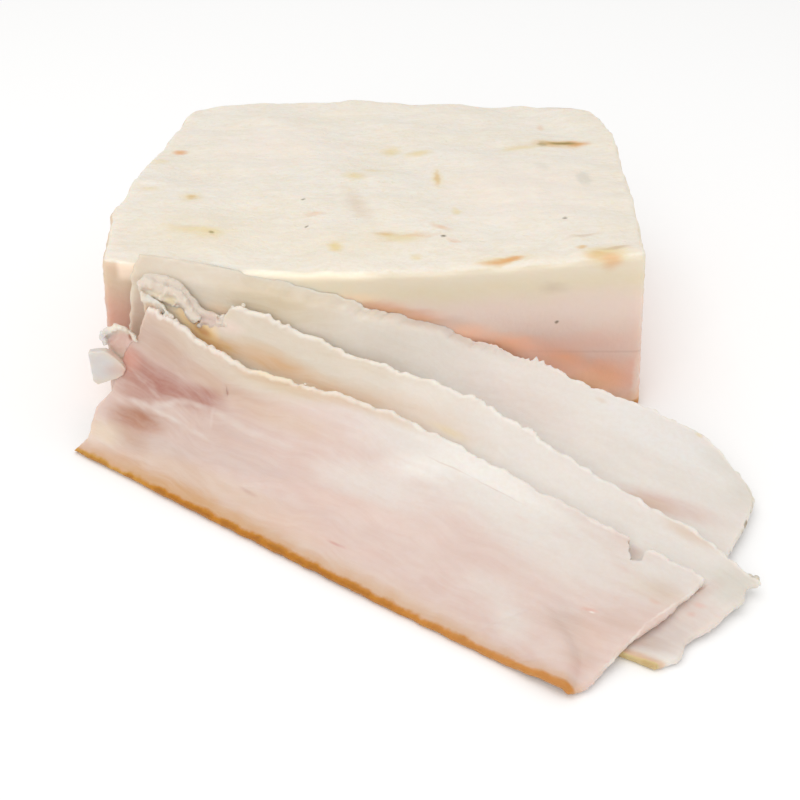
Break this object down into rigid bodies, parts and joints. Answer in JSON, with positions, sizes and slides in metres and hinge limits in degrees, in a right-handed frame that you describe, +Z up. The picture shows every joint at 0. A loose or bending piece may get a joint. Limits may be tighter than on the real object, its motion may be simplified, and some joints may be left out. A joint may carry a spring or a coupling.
{
  "type": "pork belly slab",
  "caption": "Slab of cured fatty pork with its rind underneath, and thin slices cut from its front that still lean against the cut face.",
  "frame": {"origin": "on the surface it rests on, under the middle of the bounding box of slab and slices", "axes": "+X to the right along the cut face, +Y from the slices back into the slab, +Z up from the rind"},
  "size_m": [0.1622, 0.1994, 0.046],
  "materials": {
    "slab_fat": "satin",
    "slice_fat": "satin"
  },
  "bodies": {
    "root": {"slab": "slab_fat", "slice_rear": "slice_fat", "slice_middle": "slice_fat", "slice_front": "slice_fat"}
  },
  "joints": []
}
